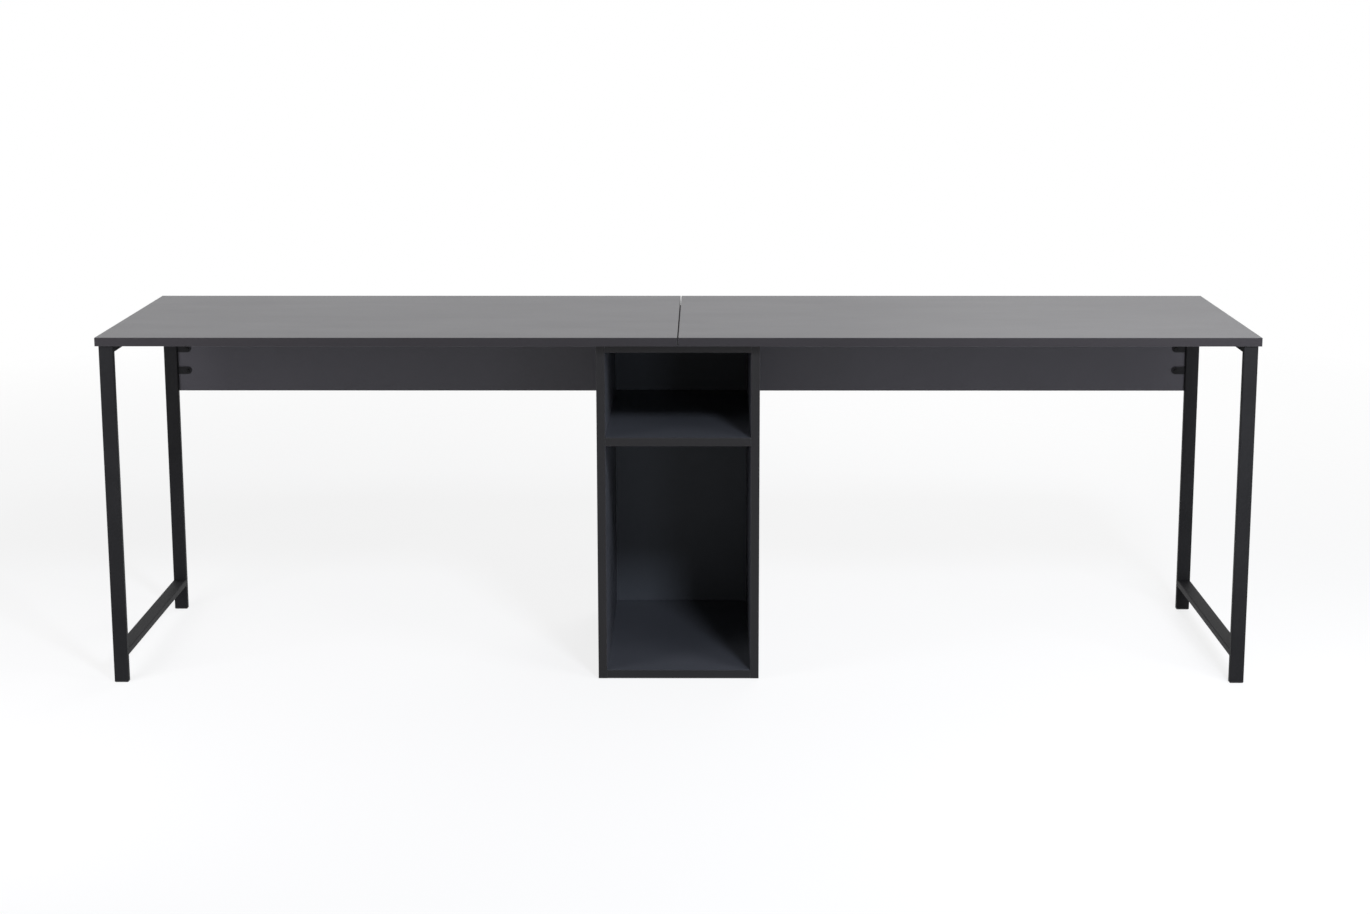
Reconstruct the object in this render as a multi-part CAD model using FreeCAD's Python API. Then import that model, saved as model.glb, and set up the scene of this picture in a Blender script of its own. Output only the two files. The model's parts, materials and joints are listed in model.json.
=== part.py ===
import FreeCAD, Part
import math
import os

from FreeCAD import Placement, Rotation, Vector

# Whole desk: X runs along its length, Y from its front to its back, Z up from the floor
desk_length = 2400.0
desk_depth = 600.0
desk_height = 740.0
desktop_seam = 2.0

# Melamine boards, and the plastic bands on their open edges
board = 18.0
band = 1.0
band_rounding_share = 0.7

# Leg frames of flat rectangular tube, mitred at the top and butted at the stretcher
tube_width = 30.0
tube_depth = 15.0
tube_wall = 1.5
tube_rounding = 2.5
frame_end_inset = 6.0
frame_front_inset = 5.0
frame_back_inset = 23.0
stretcher_rise = 56.0

# Plastic caps that plug the open foot of each leg
cap_height = 3.0
cap_chamfer_share = 0.7
cap_wall = 1.6
cap_plug_length = 22.0
cap_plug_clearance = 0.8
cap_rib_height = 2.0
cap_rib_clearance = 0.1
cap_rib_count = 2

# Modesty panels, and the steel tabs on the rear legs that hold them
modesty_height = 200.0
modesty_leg_gap = 0.2
modesty_lap = 5.0
tab_height = 17.0
tab_reach = 31.0
tab_thickness = 3.0
tab_drop = 101.0
tab_spacing = 51.0

# Open cabinet between the two seats, on nailed glides
cabinet_width = 340.0
cabinet_front_inset = 30.0
upper_compartment_height = 180.0
glide_height = 2.0
glide_diameter = 16.0
glide_setback = 30.0
glide_nail_diameter = 2.5
glide_nail_length = 14.0

# Thin back panel of the cabinet, slid into grooves in its side boards
back_thickness = 3.0
groove_depth = 8.0
groove_clearance = 0.2
groove_end_room = 0.8

# Cam joints: a bolt in one board is drawn in by a round lock in the end of the other
cam_diameter = 15.0
cam_inset = 24.0
cam_beyond_axis = 5.0
cam_rim = 1.6
cam_cross_length = 8.0
cam_cross_width = 1.8
cam_cross_depth = 2.5
bolt_diameter = 5.0
bolt_depth_in_support = 11.0
bolt_head_diameter = 7.0
bolt_head_length = 3.0

# Wooden dowels beside the cams
dowel_diameter = 8.0
dowel_length = 30.0
dowel_depth_in_support = 10.0
dowel_spacing = 32.0
panel_joint_setback = 50.0

# Wood screws
screw_diameter = 4.0
screw_bite = 12.0
screw_head_diameter = 8.5
screw_head_height = 2.6
rail_screw_setback = 120.0
rail_screw_count = 2
cabinet_screw_inset = 60.0
cabinet_screw_setback = 130.0

# Fittings and their holes are many-sided, as wide across the flats as their diameter
fitting_side_count = 8
lock_side_count = 12

# Room round and beyond what sits in a hole, and how far a cut runs past the face it opens on
hole_clearance = 0.1
hole_end_room = 1.0
overrun = 1.0

# Planes that several pieces share, on the left half of the desk
end_x = -desk_length / 2
front_y = -desk_depth / 2
back_y = desk_depth / 2
under_top = desk_height - board
leg_outer_x = end_x + frame_end_inset
leg_inner_x = leg_outer_x + tube_width
leg_middle_x = leg_outer_x + tube_width / 2
frame_front_y = front_y + frame_front_inset
frame_back_y = back_y - frame_back_inset
panel_front_y = frame_back_y - modesty_lap
panel_back_y = panel_front_y + board
panel_middle_y = panel_front_y + board / 2
cabinet_x = -cabinet_width / 2
cabinet_inner_x = cabinet_x + board
cabinet_front_y = front_y + cabinet_front_inset
shelf_top = under_top - board - upper_compartment_height
bottom_top = glide_height + board
modesty_bottom = under_top - modesty_height

X, Y, Z = range(3)
LOW, HIGH = range(2)
AXES = (Vector(1, 0, 0), Vector(0, 1, 0), Vector(0, 0, 1))
RIGHT, BACK, UP = AXES
LEFT, DOWN = -RIGHT, -UP

boards = {}
bands = {}
cuts = {}
fittings = {}


def block(limits):
    """Box between a low and a high limit on each axis."""
    low = Vector(*[pair[LOW] for pair in limits])
    return Part.makeBox(*[pair[HIGH] - pair[LOW] for pair in limits], low)


def centred(width):
    """Limits of a width about zero."""
    return (-width / 2, width / 2)


def prism(points, travel):
    """Flat outline pushed along a straight travel."""
    return Part.Face(Part.makePolygon(points + points[:1])).extrude(travel)


def rod(low, high, diameter, sides=fitting_side_count):
    """Many-sided bar along X."""
    corner_radius = diameter / 2 / math.cos(math.pi / sides)
    angles = [math.pi * (2 * side + 1) / sides for side in range(sides)]
    corners = [Vector(0, math.cos(angle), math.sin(angle)) * corner_radius for angle in angles]
    return prism([corner + RIGHT * low for corner in corners], RIGHT * (high - low))


def hole(low, high, diameter, sides=fitting_side_count):
    """Hole along X with room round what sits in it."""
    return rod(low, high, diameter + 2 * hole_clearance, sides)


def edges_along(solid, axis):
    """Edges of a plain box that run along one axis."""
    return [edge for edge in solid.Edges if round(abs(edge.Curve.Direction * AXES[axis])) == 1]


def placed(shape, origin, x_axis, z_axis):
    """Copy of a piece, moved from its own axes to its place on the desk."""
    turn = Rotation(x_axis, z_axis.cross(x_axis), z_axis, "XZY")
    return shape.transformed(Placement(origin, turn).toMatrix())


def mirrored(shape):
    """The same piece on the right half of the desk."""
    return shape.mirror(Vector(), RIGHT)


def spread(low, high, count):
    """Even places from one limit to the other."""
    return [low + (high - low) * index / (count - 1) for index in range(count)]


def save(node, solids):
    """Write one node: a single solid, or a group of them."""
    shape = solids[0] if len(solids) == 1 else Part.makeCompound(solids)
    shape.exportStep(f"parts/{node}.step")


def add_board(name, limits, thickness_axis, banded_edges):
    """Board inside its limits; on each open edge an edge band takes the outermost slice."""
    core = [list(pair) for pair in limits]
    strips = []
    for axis, end in banded_edges:
        run_axis = X + Y + Z - axis - thickness_axis
        strip = [list(pair) for pair in core]
        core[axis][end] += band if end == LOW else -band
        strip[axis][HIGH - end] = core[axis][end]
        strips.append(edge_band(strip, axis, end, run_axis))
    boards[name] = block(core)
    bands[name] = strips
    cuts[name] = []


def edge_band(limits, facing_axis, end, run_axis):
    """Strip of edge band with its two outer long edges rounded."""
    solid = block(limits)
    middle = sum(limits[facing_axis]) / 2
    outward = 1 if end == HIGH else -1
    edges = edges_along(solid, run_axis)
    outer_edges = [edge for edge in edges if (edge.CenterOfMass[facing_axis] - middle) * outward > 0]
    return solid.makeFillet(band * band_rounding_share, outer_edges)


def cut(name, *tools):
    """Note cuts in a board; a board across the middle has the same cuts at its right end."""
    cuts[name] += tools
    if "left" not in name:
        cuts[name] += [mirrored(tool) for tool in tools]


def fit(kind, solid):
    """Note a fitting on the left half, with its twin on the right half."""
    fittings.setdefault(kind, []).extend([solid, mirrored(solid)])


def add_desktops():
    """Top of the left seat; its right end meets the other top over the cabinet."""
    limits = [(end_x, -desktop_seam / 2), (front_y, back_y), (under_top, desk_height)]
    add_board("left_desktop", limits, Z, [(Y, LOW), (Y, HIGH), (X, LOW), (X, HIGH)])


def add_modesty_panels():
    """Panel under the back of the top, from beside the rear leg to the cabinet."""
    across = (leg_inner_x + modesty_leg_gap, cabinet_x)
    limits = [across, (panel_front_y, panel_back_y), (modesty_bottom, under_top)]
    add_board("left_modesty_panel", limits, Y, [(Z, LOW), (X, LOW)])


def add_cabinet():
    """Side boards, level panels between them, and a thin back in grooves."""
    between_x = (cabinet_inner_x, -cabinet_inner_x)
    between_y = (cabinet_front_y, panel_front_y)
    standing_z = (glide_height, under_top)
    side = [(cabinet_x, cabinet_inner_x), (cabinet_front_y, panel_back_y), standing_z]
    add_board("cabinet_left_side", side, X, [(Y, LOW), (Y, HIGH)])
    tops = {"top_panel": under_top, "shelf": shelf_top, "bottom_panel": bottom_top}
    for name, top in tops.items():
        add_board(f"cabinet_{name}", [between_x, between_y, (top - board, top)], Z, [(Y, LOW)])
    back_y_limits = (panel_front_y, panel_front_y + back_thickness)
    groove_y = (back_y_limits[LOW] - groove_clearance, back_y_limits[HIGH] + groove_clearance)
    groove_x = (cabinet_inner_x - groove_depth, cabinet_inner_x + overrun)
    groove_z = (glide_height - overrun, under_top + overrun)
    cut("cabinet_left_side", block([groove_x, groove_y, groove_z]))
    back_width = 2 * (groove_depth - groove_end_room - cabinet_inner_x)
    add_board("cabinet_back_panel", [centred(back_width), back_y_limits, standing_z], Y, [])


def cam_bolt_places():
    """Where the bolt's head starts and ends, inside the lock's rim."""
    start = cam_inset - cam_diameter / 2 + cam_rim
    return start, start + bolt_head_length


def cam_bolt():
    """Bolt along X: screwed into the support, with its head held in the lock."""
    head_start, head_end = cam_bolt_places()
    stem = rod(-bolt_depth_in_support, head_start, bolt_diameter)
    return stem.fuse(rod(head_start, head_end, bolt_head_diameter))


def cam_lock():
    """Round lock about Z, slotted for the bolt's stem, with a pocket for its head and a driver cross."""
    head_start, head_end = cam_bolt_places()
    disc = rod(-cam_beyond_axis, board / 2, cam_diameter, lock_side_count)
    disc = placed(disc, RIGHT * cam_inset, UP, LEFT)
    stem_room = centred(bolt_diameter + 2 * hole_clearance)
    head_room = centred(bolt_head_diameter + 2 * hole_clearance)
    slot = block([(0, head_start), stem_room, stem_room])
    pocket = block([(head_start - hole_clearance, cam_inset), head_room, head_room])
    sunk = (board / 2 - cam_cross_depth, board / 2 + overrun)
    arms = [(cam_cross_length, cam_cross_width), (cam_cross_width, cam_cross_length)]
    cross = [block([centred(arm[X]), centred(arm[Y]), sunk]).translated(RIGHT * cam_inset) for arm in arms]
    return disc.cut([slot, pocket] + cross)


def add_cam_joint(panel, support, origin, inward, face):
    """Bolt and lock that draw the end of a panel against a support; the lock opens on one face."""
    at_joint = (origin, inward, face)
    lock_hole = hole(-cam_beyond_axis - hole_clearance, board, cam_diameter, lock_side_count)
    lock_hole = placed(lock_hole, RIGHT * cam_inset, UP, LEFT)
    bolt_hole = hole(-overrun, cam_inset, bolt_diameter)
    support_hole = hole(-bolt_depth_in_support - hole_end_room, overrun, bolt_diameter)
    cut(panel, placed(lock_hole, *at_joint), placed(bolt_hole, *at_joint))
    cut(support, placed(support_hole, *at_joint))
    fit("cam_locks", placed(cam_lock(), *at_joint))
    fit("cam_bolts", placed(cam_bolt(), *at_joint))


def add_dowel(panel, support, origin, inward):
    """Dowel between the end of a panel and its support."""
    at_joint = (origin, inward, UP)
    low = -dowel_depth_in_support
    high = low + dowel_length
    cut(panel, placed(hole(-overrun, high + hole_end_room, dowel_diameter), *at_joint))
    cut(support, placed(hole(low - hole_end_room, overrun, dowel_diameter), *at_joint))
    fit("wooden_dowels", placed(rod(low, high, dowel_diameter), *at_joint))


def add_panel_joints():
    """Cams at the left end of each level panel, with a dowel inward of each."""
    front = cabinet_front_y + panel_joint_setback
    back = panel_front_y - panel_joint_setback
    levels = {"top_panel": (under_top, UP), "shelf": (shelf_top, DOWN), "bottom_panel": (bottom_top, DOWN)}
    for name, (top, face) in levels.items():
        for cam_y, dowel_y in ((front, front + dowel_spacing), (back, back - dowel_spacing)):
            joint = (f"cabinet_{name}", "cabinet_left_side")
            add_cam_joint(*joint, Vector(cabinet_inner_x, cam_y, top - board / 2), RIGHT, face)
            add_dowel(*joint, Vector(cabinet_inner_x, dowel_y, top - board / 2), RIGHT)


def add_modesty_joints():
    """One cam between two dowels where the modesty panel meets the cabinet."""
    joint = ("left_modesty_panel", "cabinet_left_side")
    middle = Vector(cabinet_x, panel_middle_y, modesty_bottom + modesty_height / 2)
    add_cam_joint(*joint, middle, LEFT, BACK)
    for way in (UP, DOWN):
        add_dowel(*joint, middle + way * dowel_spacing, LEFT)


def screw(head_low, grip):
    """Screw along X: a head, and a shank that passes its grip and bites into a board."""
    head = rod(head_low, head_low + screw_head_height, screw_head_diameter, lock_side_count)
    return head.fuse(rod(head_low + screw_head_height, grip + screw_bite, screw_diameter))


def bite_hole(grip):
    """Blind hole beyond the grip for the screw's bite."""
    return hole(grip - overrun, grip + screw_bite + hole_end_room, screw_diameter)


def add_cabinet_screws():
    """Screws up through the cabinet's top panel into the desktop, with sunk heads."""
    screw_x = cabinet_inner_x + cabinet_screw_inset
    sink = hole(-overrun, screw_head_height, screw_head_diameter, lock_side_count)
    passage = hole(0, board + overrun, screw_diameter)
    for screw_y in (cabinet_front_y + cabinet_screw_setback, panel_front_y - cabinet_screw_setback):
        at_screw = (Vector(screw_x, screw_y, under_top - board), UP, LEFT)
        cut("cabinet_top_panel", placed(sink, *at_screw), placed(passage, *at_screw))
        cut("left_desktop", placed(bite_hole(board), *at_screw))
        fit("cabinet_screws", placed(screw(0, board), *at_screw))


def add_glides():
    """Nailed glides under the cabinet's side boards."""
    top = glide_height + glide_nail_length
    foot = rod(0, glide_height, glide_diameter, lock_side_count)
    glide = foot.fuse(rod(glide_height, top, glide_nail_diameter))
    nail_hole = hole(glide_height - overrun, top + hole_end_room, glide_nail_diameter)
    for glide_y in (cabinet_front_y + glide_setback, panel_back_y - glide_setback):
        at_glide = (Vector(cabinet_x + board / 2, glide_y, 0), UP, LEFT)
        cut("cabinet_left_side", placed(nail_hole, *at_glide))
        fit("cabinet_glides", placed(glide, *at_glide))


def tube_bore(inset, low, high):
    """Upright block about Z, as large as the inside of the tube less an inset all round."""
    width = tube_width - 2 * (tube_wall + inset)
    depth = tube_depth - 2 * (tube_wall + inset)
    return block([centred(width), centred(depth), (low, high)])


def tube(length):
    """Length of hollow rectangular tube up from zero, with rounded long edges."""
    bar = block([centred(tube_width), centred(tube_depth), (0, length)])
    bar = bar.makeFillet(tube_rounding, edges_along(bar, Z))
    return bar.cut(tube_bore(0, -overrun, length + overrun))


def mitre_wedge(corner_y, inward, under_joint):
    """What lies over, or under, the slanted joint of a leg and the top rail."""
    reach = tube_depth + overrun
    outer_y = corner_y - inward * overrun
    inner_y = corner_y + inward * reach
    high = under_top + overrun
    low = under_top - reach
    third = (outer_y, low) if under_joint else (inner_y, high)
    start_x = leg_outer_x - overrun
    points = [Vector(start_x, y, z) for y, z in ((outer_y, high), (inner_y, low), third)]
    return prism(points, RIGHT * (tube_width + 2 * overrun))


def leg(corner_y, inward):
    """Leg from its foot cap up to the mitred corner."""
    foot = Vector(leg_middle_x, corner_y + inward * tube_depth / 2, cap_height)
    upright = placed(tube(under_top - cap_height), foot, RIGHT, UP)
    return upright.cut(mitre_wedge(corner_y, inward, False))


def level_tube(start_y, end_y, low_z):
    """Tube that lies flat from front to back."""
    start = Vector(leg_middle_x, start_y, low_z + tube_depth / 2)
    return placed(tube(end_y - start_y), start, RIGHT, BACK)


def top_rail():
    """Rail under the desktop, mitred to both legs and screwed up through both walls."""
    rail = level_tube(frame_front_y, frame_back_y, under_top - tube_depth)
    tools = [mitre_wedge(frame_front_y, 1, True), mitre_wedge(frame_back_y, -1, True)]
    first = frame_front_y + rail_screw_setback
    last = frame_back_y - rail_screw_setback
    for screw_y in spread(first, last, rail_screw_count):
        at_screw = (Vector(leg_middle_x, screw_y, under_top - tube_depth), UP, LEFT)
        tools.append(placed(hole(-overrun, tube_depth + overrun, screw_diameter), *at_screw))
        cut("left_desktop", placed(bite_hole(tube_depth), *at_screw))
        fit("rail_screws", placed(screw(-screw_head_height, tube_depth), *at_screw))
    return rail.cut(tools)


def foot_cap(corner_y, inward):
    """Cap with a chamfered sole, and a hollow ribbed plug up inside the leg."""
    plug_top = cap_height + cap_plug_length
    chamfer = tube_rounding * cap_chamfer_share
    sole = block([centred(tube_width), centred(tube_depth), (0, cap_height)])
    sole = sole.makeChamfer(chamfer, edges_along(sole, Z))
    sole_edges = [edge for edge in sole.Edges if edge.BoundBox.ZMax < cap_height / 2]
    sole = sole.makeChamfer(chamfer, sole_edges)
    pieces = [tube_bore(cap_plug_clearance, cap_height, plug_top)]
    first = cap_height + cap_rib_height
    last = plug_top - 2 * cap_rib_height
    for low in spread(first, last, cap_rib_count):
        pieces.append(tube_bore(cap_rib_clearance, low, low + cap_rib_height))
    hollow = tube_bore(cap_plug_clearance + cap_wall, cap_height, plug_top + overrun)
    cap = sole.fuse(pieces).cut(hollow)
    return cap.translated(Vector(leg_middle_x, corner_y + inward * tube_depth / 2, 0))


def panel_tab(middle_z):
    """Tab welded to the rear leg's inner face, with a round end and a screw into the modesty panel."""
    radius = tab_height / 2
    front = panel_front_y - tab_thickness
    eye = Vector(leg_inner_x + tab_reach - radius, front, middle_z)
    plate = block([(leg_inner_x, eye.x), (front, panel_front_y), (middle_z - radius, middle_z + radius)])
    plate = plate.fuse(Part.makeCylinder(radius, tab_thickness, eye, BACK)).removeSplitter()
    at_screw = (eye, BACK, UP)
    cut("left_modesty_panel", placed(bite_hole(tab_thickness), *at_screw))
    fit("tab_screws", placed(screw(-screw_head_height, tab_thickness), *at_screw))
    return plate.cut(placed(hole(-overrun, tab_thickness + overrun, screw_diameter), *at_screw))


def leg_frame():
    """Every piece of the left leg frame by name."""
    tab_z = under_top - tab_drop
    return {
        "front_leg": leg(frame_front_y, 1),
        "rear_leg": leg(frame_back_y, -1),
        "top_rail": top_rail(),
        "stretcher": level_tube(frame_front_y + tube_depth, frame_back_y - tube_depth, stretcher_rise),
        "front_foot_cap": foot_cap(frame_front_y, 1),
        "rear_foot_cap": foot_cap(frame_back_y, -1),
        "upper_panel_tab": panel_tab(tab_z),
        "lower_panel_tab": panel_tab(tab_z - tab_spacing),
    }


def save_frames():
    """Pieces of both leg frames."""
    for name, shape in leg_frame().items():
        save(f"left_{name}", [shape])
        save(f"right_{name}", [mirrored(shape)])


def save_boards():
    """Boards with their cuts, and their edge bands; what is left-handed has a mirrored twin."""
    nodes = {f"{name}_edge_band": strips for name, strips in bands.items() if strips}
    nodes.update({name: [shape.cut(cuts[name])] if cuts[name] else [shape] for name, shape in boards.items()})
    for node, solids in nodes.items():
        save(node, solids)
        if "left" in node:
            save(node.replace("left", "right"), [mirrored(solid) for solid in solids])


def save_fittings():
    """Groups of like fittings."""
    for kind, solids in fittings.items():
        save(kind, solids)


os.makedirs("parts", exist_ok=True)
add_desktops()
add_modesty_panels()
add_cabinet()
add_panel_joints()
add_modesty_joints()
add_cabinet_screws()
add_glides()
save_frames()
save_boards()
save_fittings()
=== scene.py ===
import json
import math

import bmesh
import bpy
from mathutils import Matrix, Vector


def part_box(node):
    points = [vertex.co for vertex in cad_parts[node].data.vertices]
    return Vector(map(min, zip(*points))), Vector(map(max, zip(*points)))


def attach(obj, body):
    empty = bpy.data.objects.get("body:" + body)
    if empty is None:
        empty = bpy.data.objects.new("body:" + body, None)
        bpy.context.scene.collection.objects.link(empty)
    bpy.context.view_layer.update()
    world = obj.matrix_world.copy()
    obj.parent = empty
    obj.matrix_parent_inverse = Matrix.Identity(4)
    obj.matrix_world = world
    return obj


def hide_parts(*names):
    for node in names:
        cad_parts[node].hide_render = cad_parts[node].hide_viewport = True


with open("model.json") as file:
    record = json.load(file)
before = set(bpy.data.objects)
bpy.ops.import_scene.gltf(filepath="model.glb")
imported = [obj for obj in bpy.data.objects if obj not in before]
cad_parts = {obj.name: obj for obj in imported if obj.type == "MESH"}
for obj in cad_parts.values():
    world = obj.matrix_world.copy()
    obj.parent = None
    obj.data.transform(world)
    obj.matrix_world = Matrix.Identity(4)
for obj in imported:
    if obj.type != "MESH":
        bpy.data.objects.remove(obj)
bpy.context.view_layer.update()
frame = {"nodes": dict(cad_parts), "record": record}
MM = 0.001

# Camera, as fitted to the photograph; pixels are those of its 1370 by 914 frame
PICTURE = (1370, 914)
FOCAL_PIXELS = 2284.4
AXIS_PIXEL = (697.6, 386.0)
CAMERA_PLACE = (0.0617, -4.9296, 1.5018)
CAMERA_TURN_DEGREES = (79.449, 0.0315, 0.2528)
SENSOR_WIDTH = 36.0

# Square lamps, in metres and watts: name, place, target, side, power, colour, and whether gloss shows it
LAMPS = (
    ("key", (1.2, -3.57, 3.05), (0.0, 0.0, 0.4), 0.6, 102.0, (0.93, 0.98, 1.10), True),
    ("low_key", (1.6, -4.3, 1.05), (0.0, 0.0, 0.55), 0.6, 18.0, (0.93, 0.98, 1.09), False),
    ("right_fill", (1.5, -1.3, 1.1), (0.9, 0.0, 0.6), 0.9, 20.0, (0.98, 0.985, 1.03), False),
    ("left_fill", (-1.75, -1.25, 1.05), (-1.0, 0.0, 0.6), 0.9, 18.5, (1.0, 0.985, 1.015), False),
    ("back", (1.2, 3.6, 2.4), (0.0, 0.0, 0.4), 2.0, 52.0, (1.0, 1.0, 1.0), False),
    ("sheen", (1.6, 3.0, 3.2), (0.3, 0.0, 0.6), 2.0, 20.0, (1.0, 1.0, 1.0), True),
)
WHITE = (1.0, 1.0, 1.0, 1.0)
WORLD_LIGHT = 0.15

# Floor: a pale disc that fades out between two distances, in metres; its lift is the share of plain white
# that is mixed in where the camera or a reflection sees it
FLOOR_RADIUS = 14.0
FLOOR_SIDES = 96
FLOOR_COLOUR = (0.93, 0.93, 0.93, 1.0)
FLOOR_ROUGHNESS = 0.9
FLOOR_FADE = (1.7, 4.5)
FLOOR_LIFT = 0.8

# Boards and bands: dark, light and worn tone as linear colours, and the least and most share of the worn tone at
# an edge; on the boards that is real wear, on the bands it is high and is mostly a painted highlight along the
# rounded arrises, with some wear
BOARD = {
    "tones": ((0.0365, 0.0348, 0.0410), (0.0470, 0.0448, 0.0528), (0.085, 0.084, 0.090)),
    "grain_mm": 1.1, "roughness": 0.32, "gloss": 0.3, "wear_and_highlight": (0.0, 0.15),
}
# Cabinet boards: the same decor as the desk's boards, made lighter and bluer as painted bluish light in the
# cabinet's interior
CABINET_BOARD_PAINTED_LIGHT = {
    "tones": ((0.0510, 0.0543, 0.0635), (0.0655, 0.0697, 0.0815), (0.100, 0.103, 0.114)),
    "grain_mm": 1.1, "roughness": 0.36, "gloss": 0.3, "wear_and_highlight": (0.0, 0.15),
}
BACK_BOARD = {
    "tones": ((0.048, 0.053, 0.062), (0.062, 0.068, 0.078), (0.080, 0.084, 0.093)),
    "grain_mm": 1.8, "roughness": 0.5, "gloss": 0.24, "wear_and_highlight": (0.0, 0.1),
}
# Bands: their light worn tone, laid over most of each edge, is a painted highlight along the arrises as well as
# wear
BAND = {
    "tones": ((0.0185, 0.0171, 0.0190), (0.0235, 0.0216, 0.0240), (0.110, 0.108, 0.114)),
    "grain_mm": 0.6, "roughness": 0.38, "gloss": 0.18, "wear_and_highlight": (0.4, 0.8),
}
# Cabinet bands: the same band as the desk's, made darker as painted shade of the dim middle of the desk's front;
# their worn tone is also a painted highlight along the arrises
CABINET_BAND_PAINTED_SHADE = {
    "tones": ((0.0105, 0.0102, 0.0108), (0.0135, 0.0131, 0.0139), (0.100, 0.100, 0.104)),
    "grain_mm": 0.6, "roughness": 0.38, "gloss": 0.18, "wear_and_highlight": (0.4, 0.8),
}

# Melamine texture: sizes in millimetres, and the share of the tone that its fine pearl has beside its clouds
CLOUD_MM = 220
PEARL_SHARE = 0.65
PEARL_DEPTH_MM = 0.03
PEARL_ROUGHNESS = 0.02
SMEAR_MM = 70
SMEAR_STRETCH = (3.0, 1.0, 1.0)
SMEAR_SPAN = (0.3, 0.75)
SMEAR_ROUGHNESS = 0.025
CHIP_MM = 5
CHIP_SPAN = (0.42, 0.62)
BOARD_EDGE_MM = 1.2

# Powder coat
COAT = (0.0094, 0.0094, 0.0100)
COAT_LIGHT = (0.0122, 0.0122, 0.0129)
COAT_WORN = (0.065, 0.065, 0.066)
COAT_ROUGHNESS = (0.52, 0.64)
COAT_GLOSS = 0.09
COAT_DRIFT_MM = 90
COAT_DEPTH_MM = 0.09
COAT_EDGE_MM = 0.8
PEEL_MM = 1.6
GRIT_MM = 0.35
GRIT_SHARE = 0.3
RUB_MM = 9
RUB_SPAN = (0.45, 0.64)
RUB_WEAR = (0.1, 0.7)

# Moulded plastic
PLASTIC = (0.007, 0.007, 0.0075)
PLASTIC_LIGHT = (0.011, 0.011, 0.0115)
PLASTIC_ROUGHNESS = (0.42, 0.6)
PLASTIC_GRAIN_MM = 0.5
PLASTIC_DEPTH_MM = 0.03
PLASTIC_EDGE_MM = 0.5
SCUFF_MM = 6
SCUFF_STRETCH = (1.0, 4.0, 1.0)
SCUFF_SPAN = (0.45, 0.75)

# Zinc fittings and blackened screws
ZINC = (0.52, 0.52, 0.53)
ZINC_DULL = (0.36, 0.36, 0.37)
BLACK_SCREW = (0.028, 0.028, 0.029)
BLACK_SCREW_DULL = (0.016, 0.016, 0.0165)
METAL_ROUGHNESS = (0.28, 0.45)
METAL_CLOUD_MM = 3
METAL_MARK_MM = 0.4
METAL_MARK_STRETCH = (5.0, 1.0, 1.0)
METAL_DEPTH_MM = 0.015
METAL_EDGE_MM = 0.3

# Beech dowels
BEECH = (0.52, 0.34, 0.19)
BEECH_DARK = (0.38, 0.22, 0.11)
BEECH_ROUGHNESS = (0.6, 0.75)
BEECH_GRAIN_MM = 0.8
BEECH_GRAIN_STRETCH = (14.0, 1.0, 1.0)
BEECH_DEPTH_MM = 0.06
BEECH_EDGE_MM = 0.4
FLECK_MM = 0.5
FLECK_STRETCH = (5.0, 1.0, 1.0)
FLECK_SPAN = (0.62, 0.7)
FLECK_SHARE = 0.6

# Part of its range that a noise mostly fills, and the match of normals that is flat and that is an edge
NOISE_SPAN = (0.3, 0.7)
EDGE_SPAN = (0.995, 0.85)
EDGE_SAMPLES = 4

# Sockets of a Mix node that is set to colours
MIX_SHARE, MIX_FIRST, MIX_SECOND, MIX_RESULT = 0, 6, 7, 2

# Turned fittings, in millimetres: a profile is a row of pairs, radius and height, from the head's face to the tip
TURNED_SEGMENTS = 32
SHARP_DEGREES = 35
PAN_HEAD = [(2.5, 0.0), (3.3, 0.25), (3.9, 0.8), (4.2, 1.6), (4.25, 2.6), (2.0, 2.6)]
SUNK_HEAD = [(4.1, 0.0), (4.25, 0.15), (4.25, 0.4), (2.0, 2.6)]
THREAD_LENGTH = 11.0
THREAD_PITCH = 1.6
THREAD_RADII = (1.45, 2.0)
POINT_RADIUS = 0.25
GLIDE = [
    (5.4, 0.0), (7.1, 0.3), (7.8, 0.9), (8.0, 1.5), (8.0, 2.0),
    (1.25, 2.0), (1.25, 14.0), (0.2, 16.0),
]
LOCK_FACE = [(7.1, 0.0), (7.4, 0.15), (7.5, 0.5), (7.5, 3.4)]
LOCK_BASE = [(7.5, 13.0), (7.5, 13.7), (7.2, 14.0)]
LOCK_RIM_RADII = (5.9, 7.5)
LOCK_MOUTH_DEGREES = 32

# Driver crosses: length, width and depth, and how much of the mouth's size their floor keeps
SCREW_CROSS = (4.4, 1.1, 1.7)
LOCK_CROSS = (8.0, 1.8, 2.5)
CROSS_FLOOR_SHARE = 0.75

RIGHT = Vector((1.0, 0.0, 0.0))
BACK = Vector((0.0, 1.0, 0.0))
UP = Vector((0.0, 0.0, 1.0))
SAME_POINT = 0.01 * MM


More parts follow.
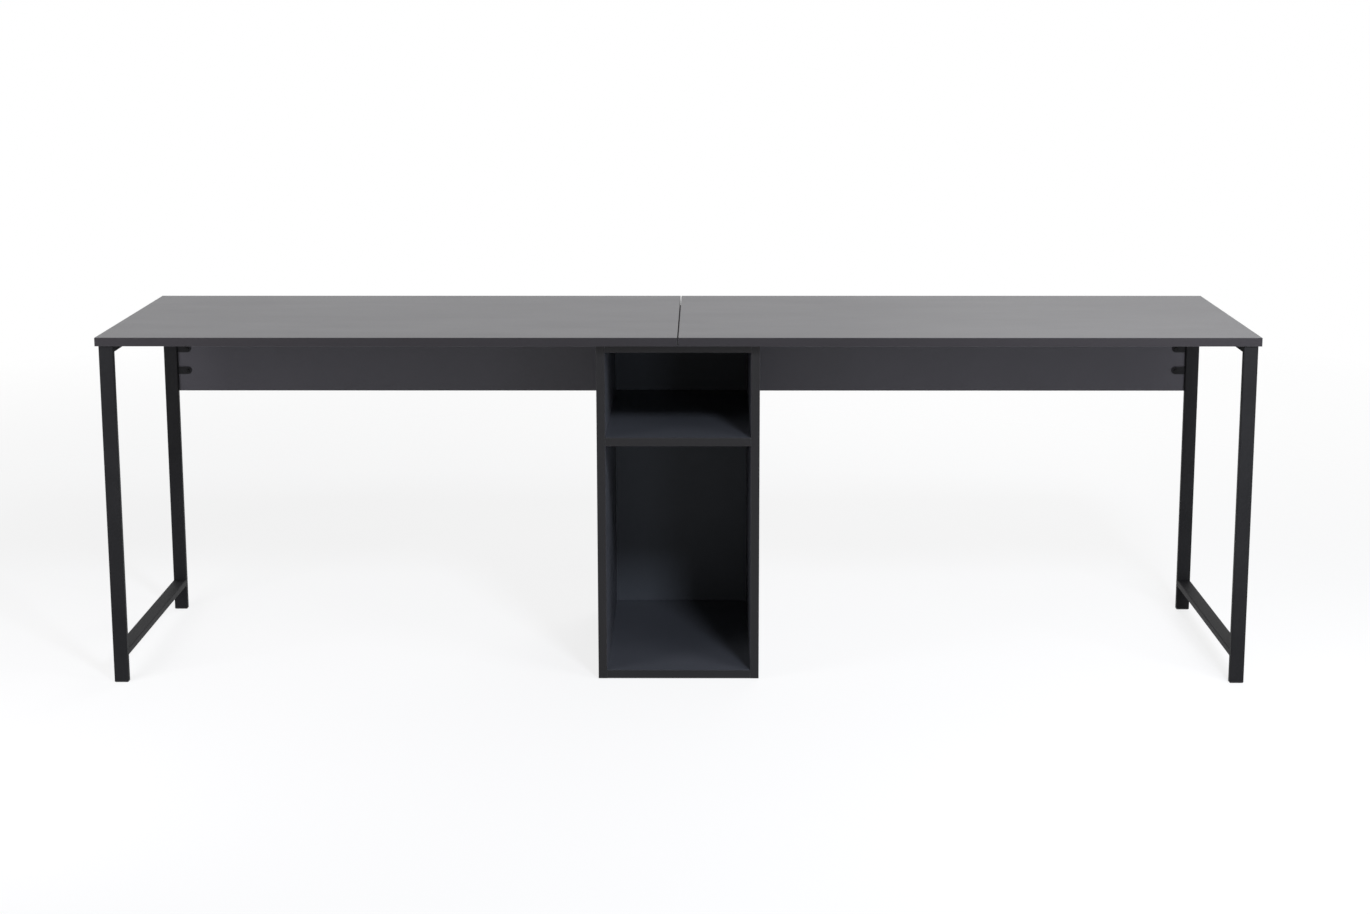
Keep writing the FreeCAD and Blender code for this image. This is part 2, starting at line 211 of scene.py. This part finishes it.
class Shader:
    """Node tree of a material or a world, with short calls for what the trees share."""

    def __init__(self, owner):
        owner.use_nodes = True
        self.owner = owner
        self.tree = owner.node_tree
        self.surface = self.tree.nodes.get("Principled BSDF")
        self.place = self.add("ShaderNodeTexCoord").outputs["Object"]

    def add(self, kind, inputs=None, **settings):
        node = self.tree.nodes.new(kind)
        for name, value in settings.items():
            setattr(node, name, value)
        for socket, value in (inputs or {}).items():
            self.put(node.inputs[socket], value)
        return node

    def put(self, socket, value):
        if isinstance(value, bpy.types.NodeSocket):
            self.tree.links.new(value, socket)
        else:
            socket.default_value = value

    def noise(self, grain_mm, detail=2.0, stretch=(1.0, 1.0, 1.0)):
        """Noise with grains of a size in millimetres, longer along a stretched axis."""
        scale = [1 / (grain_mm * MM * share) for share in stretch]
        place = self.add("ShaderNodeVectorMath", {0: self.place, 1: scale}, operation="MULTIPLY").outputs[0]
        return self.add("ShaderNodeTexNoise", {"Vector": place, "Scale": 1.0, "Detail": detail}).outputs["Fac"]

    def ramp(self, value, span, low=0.0, high=1.0):
        """Value taken from a span to the range from low to high, and held at the ends."""
        start, end = span
        inputs = {"Value": value, "From Min": start, "From Max": end, "To Min": low, "To Max": high}
        return self.add("ShaderNodeMapRange", inputs).outputs[0]

    def maths(self, operation, first, second):
        return self.add("ShaderNodeMath", {0: first, 1: second}, operation=operation).outputs[0]

    def blend(self, share, first, second):
        """Colour between two, by a share."""
        inputs = {MIX_SHARE: share, MIX_FIRST: self.colour(first), MIX_SECOND: self.colour(second)}
        return self.add("ShaderNodeMix", inputs, data_type="RGBA").outputs[MIX_RESULT]

    def colour(self, value):
        return value if isinstance(value, bpy.types.NodeSocket) else (*value, 1.0)

    def edges(self, width_mm):
        """Normal rounded over the edges, and a share that is 1 along them."""
        soft = self.add("ShaderNodeBevel", {"Radius": width_mm * MM}, samples=EDGE_SAMPLES).outputs[0]
        flat = self.add("ShaderNodeNewGeometry").outputs["Normal"]
        match = self.add("ShaderNodeVectorMath", {0: soft, 1: flat}, operation="DOT_PRODUCT")
        return soft, self.ramp(match.outputs["Value"], EDGE_SPAN)

    def seen(self):
        """Share that is 1 to the camera and in a reflection, and 0 where light is gathered."""
        path = self.add("ShaderNodeLightPath").outputs
        mirrored = self.maths("MAXIMUM", path["Is Glossy Ray"], path["Is Transmission Ray"])
        return self.maths("MAXIMUM", path["Is Camera Ray"], mirrored)

    def bump(self, height, depth_mm, normal):
        inputs = {"Height": height, "Distance": depth_mm * MM, "Strength": 1.0, "Normal": normal}
        return self.add("ShaderNodeBump", inputs).outputs[0]

    def finish(self, colour, roughness, normal, **constants):
        """Connect what varies, and set what is the same all over."""
        self.put(self.surface.inputs["Base Color"], colour)
        self.put(self.surface.inputs["Roughness"], roughness)
        self.put(self.surface.inputs["Normal"], normal)
        for name, value in constants.items():
            self.surface.inputs[name.replace("_", " ")].default_value = value
        return self.owner


def melamine(name, tones, grain_mm, roughness, gloss, wear_and_highlight):
    """Matt decor paper under resin: faint clouds, a fine pearl, smears where hands have been."""
    dark, light, worn_and_highlight = tones
    shader = Shader(bpy.data.materials.new(name))
    pearl = shader.noise(grain_mm)
    clouds = shader.noise(CLOUD_MM, detail=3.0)
    smears = shader.noise(SMEAR_MM, detail=4.0, stretch=SMEAR_STRETCH)
    chips_and_highlight = shader.ramp(shader.noise(CHIP_MM, detail=3.0), CHIP_SPAN, *wear_and_highlight)
    soft, edge = shader.edges(BOARD_EDGE_MM)
    cloudy = shader.maths("MULTIPLY", clouds, 1 - PEARL_SHARE)
    tone = shader.maths("ADD", cloudy, shader.maths("MULTIPLY", pearl, PEARL_SHARE))
    colour = shader.blend(shader.ramp(tone, NOISE_SPAN), dark, light)
    # Worn tone along the edges: real chips on the boards, and on the bands mostly a painted highlight along the
    # arrises
    colour = shader.blend(shader.maths("MULTIPLY", edge, chips_and_highlight), colour, worn_and_highlight)
    rough = shader.ramp(smears, SMEAR_SPAN, roughness, roughness + SMEAR_ROUGHNESS)
    sparkle = shader.ramp(pearl, NOISE_SPAN, -PEARL_ROUGHNESS, PEARL_ROUGHNESS)
    normal = shader.bump(pearl, PEARL_DEPTH_MM, soft)
    return shader.finish(colour, shader.maths("ADD", rough, sparkle), normal, Specular_IOR_Level=gloss)


def powder_coat(name):
    """Black powder coat: orange peel, fine grit, and rubbed edges."""
    shader = Shader(bpy.data.materials.new(name))
    peel = shader.noise(PEEL_MM, detail=1.0)
    grit = shader.noise(GRIT_MM, detail=1.0)
    drift = shader.noise(COAT_DRIFT_MM, detail=3.0)
    rubs = shader.ramp(shader.noise(RUB_MM, detail=4.0), RUB_SPAN, *RUB_WEAR)
    soft, edge = shader.edges(COAT_EDGE_MM)
    colour = shader.blend(shader.ramp(drift, NOISE_SPAN), COAT, COAT_LIGHT)
    colour = shader.blend(shader.maths("MULTIPLY", edge, rubs), colour, COAT_WORN)
    rough = shader.ramp(grit, NOISE_SPAN, *COAT_ROUGHNESS)
    height = shader.maths("ADD", peel, shader.maths("MULTIPLY", grit, GRIT_SHARE))
    normal = shader.bump(height, COAT_DEPTH_MM, soft)
    return shader.finish(colour, rough, normal, Specular_IOR_Level=COAT_GLOSS)


def moulded_plastic(name):
    """Black moulded plastic with a spark-eroded grain."""
    shader = Shader(bpy.data.materials.new(name))
    grain = shader.noise(PLASTIC_GRAIN_MM)
    scuffs = shader.noise(SCUFF_MM, detail=4.0, stretch=SCUFF_STRETCH)
    soft, _ = shader.edges(PLASTIC_EDGE_MM)
    colour = shader.blend(shader.ramp(scuffs, SCUFF_SPAN), PLASTIC, PLASTIC_LIGHT)
    rough = shader.ramp(scuffs, NOISE_SPAN, *PLASTIC_ROUGHNESS)
    return shader.finish(colour, rough, shader.bump(grain, PLASTIC_DEPTH_MM, soft))


def metal(name, bright, dull):
    """Cast or plated metal with a cloudy skin and fine tool marks."""
    shader = Shader(bpy.data.materials.new(name))
    clouds = shader.noise(METAL_CLOUD_MM, detail=4.0)
    marks = shader.noise(METAL_MARK_MM, stretch=METAL_MARK_STRETCH)
    soft, edge = shader.edges(METAL_EDGE_MM)
    share = shader.maths("SUBTRACT", shader.ramp(clouds, NOISE_SPAN), edge)
    colour = shader.blend(share, bright, dull)
    rough = shader.ramp(marks, NOISE_SPAN, *METAL_ROUGHNESS)
    return shader.finish(colour, rough, shader.bump(marks, METAL_DEPTH_MM, soft), Metallic=1.0)


def beech(name):
    """Plain beech, with its grain along the dowels and short dark flecks."""
    shader = Shader(bpy.data.materials.new(name))
    grain = shader.noise(BEECH_GRAIN_MM, detail=4.0, stretch=BEECH_GRAIN_STRETCH)
    flecks = shader.ramp(shader.noise(FLECK_MM, stretch=FLECK_STRETCH), FLECK_SPAN, high=FLECK_SHARE)
    soft, _ = shader.edges(BEECH_EDGE_MM)
    colour = shader.blend(shader.ramp(grain, NOISE_SPAN), BEECH, BEECH_DARK)
    colour = shader.blend(flecks, colour, BEECH_DARK)
    rough = shader.ramp(grain, NOISE_SPAN, *BEECH_ROUGHNESS)
    return shader.finish(colour, rough, shader.bump(grain, BEECH_DEPTH_MM, soft))


def dress_nodes():
    """Give every node the finish of its slot; the cabinet's boards get a lighter, bluer copy of the board tone as
    painted light, and its bands a darker copy as painted shade.
    """
    finishes = {
        "melamine_board": melamine("melamine", **BOARD),
        "edge_band": melamine("edge_band", **BAND),
        "hardboard": melamine("hardboard", **BACK_BOARD),
        "powder_coated_steel": powder_coat("powder_coat"),
        "black_plastic": moulded_plastic("moulded_plastic"),
        "zinc_fittings": metal("zinc", ZINC, ZINC_DULL),
        "black_screws": metal("black_screws", BLACK_SCREW, BLACK_SCREW_DULL),
        "beech_dowels": beech("beech"),
    }
    # The cabinet's finishes are copies with painted light on its boards and painted shade on its bands
    cabinet_painted_light_and_shade = finishes | {
        "melamine_board": melamine("cabinet_melamine_painted_light", **CABINET_BOARD_PAINTED_LIGHT),
        "edge_band": melamine("cabinet_band_painted_shade", **CABINET_BAND_PAINTED_SHADE),
    }
    for row in frame["record"]["subparts"]:
        choice = cabinet_painted_light_and_shade if row["node"].startswith("cabinet") else finishes
        mesh = frame["nodes"][row["node"]].data
        mesh.materials.clear()
        mesh.materials.append(choice[row["material_slot"]])
    return finishes


def mesh_object(name, build):
    mesh = bpy.data.meshes.new(name)
    shape = bmesh.new()
    build(shape)
    shape.to_mesh(mesh)
    shape.free()
    thing = bpy.data.objects.new(name, mesh)
    bpy.context.scene.collection.objects.link(thing)
    return thing


def solid_boxes(node):
    """Lowest and highest corner of each separate solid in a node."""
    shape = bmesh.new()
    shape.from_mesh(frame["nodes"][node].data)
    bmesh.ops.remove_doubles(shape, verts=shape.verts, dist=SAME_POINT)
    waiting = dict.fromkeys(shape.verts)
    boxes = []
    while waiting:
        reached = [waiting.popitem()[0]]
        for vert in reached:
            for edge in vert.link_edges:
                other = edge.other_vert(vert)
                if other in waiting:
                    del waiting[other]
                    reached.append(other)
        points = [vert.co for vert in reached]
        boxes.append([Vector(map(limit, *points)) for limit in (min, max)])
    shape.free()
    return boxes


def facing(origin, inward, side=RIGHT):
    """Place whose own Z runs inward from a fitting's face, in millimetres."""
    turn = Matrix((side, inward.cross(side), inward)).transposed()
    return Matrix.Translation(origin) @ turn.to_4x4() @ Matrix.Scale(MM, 4)


def ring(shape, place, radius, height):
    steps = [2 * math.pi * index / TURNED_SEGMENTS for index in range(TURNED_SEGMENTS)]
    points = [Vector((radius * math.cos(step), radius * math.sin(step), height)) for step in steps]
    return [shape.verts.new(place @ point) for point in points]


def join_loops(shape, lower, upper):
    for index in range(len(lower)):
        shape.faces.new((lower[index - 1], lower[index], upper[index], upper[index - 1]))


def add_turned(shape, place, profile, cross=None):
    """Solid of revolution; its first face may have a driver cross."""
    rings = [ring(shape, place, radius, height) for radius, height in profile]
    for lower, upper in zip(rings, rings[1:]):
        join_loops(shape, lower, upper)
    shape.faces.new(rings[-1])
    if cross:
        add_recess(shape, place, rings[0], *cross)
    else:
        shape.faces.new(rings[0])


def add_recess(shape, place, rim, length, width, depth):
    """Face inside a rim, at height zero, with a sunk driver cross."""
    far, near = length / 2, width / 2
    quarter = [(far, -near), (far, near), (near, near)]
    outline = []
    for _ in range(4):
        outline += quarter
        quarter = [(-y, x) for x, y in quarter]
    mouth = [shape.verts.new(place @ Vector((x, y, 0.0))) for x, y in outline]
    sunk = [Vector((x * CROSS_FLOOR_SHARE, y * CROSS_FLOOR_SHARE, depth)) for x, y in outline]
    floor = [shape.verts.new(place @ point) for point in sunk]
    join_loops(shape, mouth, floor)
    shape.faces.new(floor)
    pairs = [(loop[index - 1], loop[index]) for loop in (rim, mouth) for index in range(len(loop))]
    edges = [shape.edges.get(pair) for pair in pairs]
    bmesh.ops.triangle_fill(shape, edges=edges, use_beauty=True)


def add_open_rim(shape, place, low, high):
    """Wall of a cam lock, open where the bolt comes in along its own X."""
    start = math.radians(LOCK_MOUTH_DEGREES)
    sweep = 2 * math.pi - 2 * start
    inner, outer = LOCK_RIM_RADII
    corners = [(inner, low), (outer, low), (outer, high), (inner, high)]
    slices = []
    for index in range(TURNED_SEGMENTS + 1):
        angle = start + sweep * index / TURNED_SEGMENTS
        way = Vector((math.cos(angle), math.sin(angle), 0.0))
        slices.append([shape.verts.new(place @ (way * radius + UP * height)) for radius, height in corners])
    for first, second in zip(slices, slices[1:]):
        join_loops(shape, first, second)
    shape.faces.new(slices[0])
    shape.faces.new(slices[-1])


def screw_profile(head, length):
    """Head, smooth shank, thread and point."""
    core, crest = THREAD_RADII
    start = length - THREAD_LENGTH
    profile = head + [(crest, start)]
    for turn in range(int(THREAD_LENGTH / THREAD_PITCH) - 1):
        base = start + turn * THREAD_PITCH
        profile += [(core, base + THREAD_PITCH / 4), (core, base + THREAD_PITCH / 2)]
        profile += [(crest, base + THREAD_PITCH * 3 / 4)]
    return profile + [(core, length - THREAD_PITCH * 3 / 2), (POINT_RADIUS, length)]


def fitting_set(name, node, finish, build):
    """Piece that stands for a node of like fittings, each built on its solid's own box."""
    def build_all(shape):
        for low, high in solid_boxes(node):
            build(shape, low, high)
        bmesh.ops.recalc_face_normals(shape, faces=shape.faces)
        for face in shape.faces:
            face.smooth = True
    piece = mesh_object(name, build_all)
    piece.data.set_sharp_from_angle(angle=math.radians(SHARP_DEGREES))
    piece.data.materials.append(finish)
    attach(piece, "root")
    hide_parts(node)


def build_screw(head, inward):
    """Builder of a screw that runs inward from the low side of its box."""
    def build(shape, low, high):
        length = (high - low).dot(inward)
        origin = (low + high) / 2 - inward * length / 2
        add_turned(shape, facing(origin, inward), screw_profile(head, length / MM), SCREW_CROSS)
    return build


def build_glide(shape, low, high):
    middle = (low + high) / 2
    add_turned(shape, facing(Vector((middle.x, middle.y, low.z)), UP), GLIDE)


def build_lock(shape, low, high):
    """Cam lock that opens up in the top panel, down in the others, and to the back in the modesty panels."""
    middle = (low + high) / 2
    cabinet_end = abs(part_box("cabinet_right_side")[0].x)
    under_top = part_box("right_desktop")[0].z
    outside = abs(middle.x) > cabinet_end
    outward = RIGHT * math.copysign(1.0, middle.x)
    if outside:
        inward, face = -BACK, Vector((middle.x, high.y, middle.z))
    elif under_top - high.z < MM:
        inward, face = -UP, Vector((middle.x, middle.y, high.z))
    else:
        inward, face = UP, Vector((middle.x, middle.y, low.z))
    place = facing(face, inward, -outward if outside else outward)
    add_turned(shape, place, LOCK_FACE, LOCK_CROSS)
    add_open_rim(shape, place, LOCK_FACE[-1][1], LOCK_BASE[0][1])
    add_turned(shape, place, LOCK_BASE)


def add_fittings(finishes):
    """Turned fittings in place of the many-sided ones."""
    black, zinc, plastic = "black_screws", "zinc_fittings", "black_plastic"
    sets = [
        ("turned_tab_screws", "tab_screws", black, build_screw(PAN_HEAD, BACK)),
        ("turned_rail_screws", "rail_screws", black, build_screw(PAN_HEAD, UP)),
        ("turned_cabinet_screws", "cabinet_screws", black, build_screw(SUNK_HEAD, UP)),
        ("turned_glides", "cabinet_glides", plastic, build_glide),
        ("hollow_cam_locks", "cam_locks", zinc, build_lock),
    ]
    for name, node, slot, build in sets:
        fitting_set(name, node, finishes[slot], build)


def add_floor():
    """Pale floor that fades into the white surroundings, and keeps the desk's shadow."""
    floor = mesh_object("floor", lambda shape: bmesh.ops.create_circle(
        shape, cap_ends=True, segments=FLOOR_SIDES, radius=FLOOR_RADIUS))
    shader = Shader(bpy.data.materials.new("floor"))
    shader.surface.inputs["Base Color"].default_value = FLOOR_COLOUR
    shader.surface.inputs["Roughness"].default_value = FLOOR_ROUGHNESS
    shader.surface.inputs["Specular IOR Level"].default_value = 0.0
    distance = shader.add("ShaderNodeVectorMath", {0: shader.place}, operation="LENGTH").outputs["Value"]
    seen = shader.seen()
    clear = shader.add("ShaderNodeBsdfTransparent").outputs[0]
    glow = shader.add("ShaderNodeEmission", {"Color": WHITE, "Strength": 1.0}).outputs[0]
    lift = shader.maths("MULTIPLY", seen, FLOOR_LIFT)
    lit = shader.add("ShaderNodeMixShader", {0: lift, 1: shader.surface.outputs[0], 2: glow}).outputs[0]
    fade = shader.maths("MULTIPLY", shader.ramp(distance, FLOOR_FADE), seen)
    mixed = shader.add("ShaderNodeMixShader", {0: fade, 1: lit, 2: clear}).outputs[0]
    shader.put(shader.tree.nodes["Material Output"].inputs["Surface"], mixed)
    floor.data.materials.append(shader.owner)


def add_world():
    """White round the object to the camera and in reflections, and an even soft light."""
    sky = Shader(bpy.data.worlds.new("studio"))
    bpy.context.scene.world = sky.owner
    back = sky.tree.nodes["Background"]
    back.inputs["Color"].default_value = WHITE
    sky.put(back.inputs["Strength"], sky.ramp(sky.seen(), (0.0, 1.0), WORLD_LIGHT, 1.0))


def add_lamp(name, place, target, side, power, colour, mirrored):
    lamp = bpy.data.lights.new(name, "AREA")
    lamp.shape = "SQUARE"
    lamp.size = side
    lamp.energy = power
    lamp.color = colour
    thing = bpy.data.objects.new(name, lamp)
    bpy.context.scene.collection.objects.link(thing)
    thing.visible_glossy = mirrored
    thing.location = place
    thing.rotation_euler = (Vector(target) - Vector(place)).to_track_quat("-Z", "Y").to_euler()


def add_camera():
    lens = bpy.data.cameras.new("camera")
    lens.sensor_width = SENSOR_WIDTH
    lens.lens = FOCAL_PIXELS / PICTURE[0] * SENSOR_WIDTH
    lens.shift_x = (PICTURE[0] / 2 - AXIS_PIXEL[0]) / PICTURE[0]
    lens.shift_y = (AXIS_PIXEL[1] - PICTURE[1] / 2) / PICTURE[0]
    camera = bpy.data.objects.new("camera", lens)
    bpy.context.scene.collection.objects.link(camera)
    camera.location = CAMERA_PLACE
    camera.rotation_euler = [math.radians(angle) for angle in CAMERA_TURN_DEGREES]
    bpy.context.scene.camera = camera


bpy.context.scene.view_settings.view_transform = "Standard"
add_camera()
add_world()
add_floor()
for row in LAMPS:
    add_lamp(*row)
add_fittings(dress_nodes())
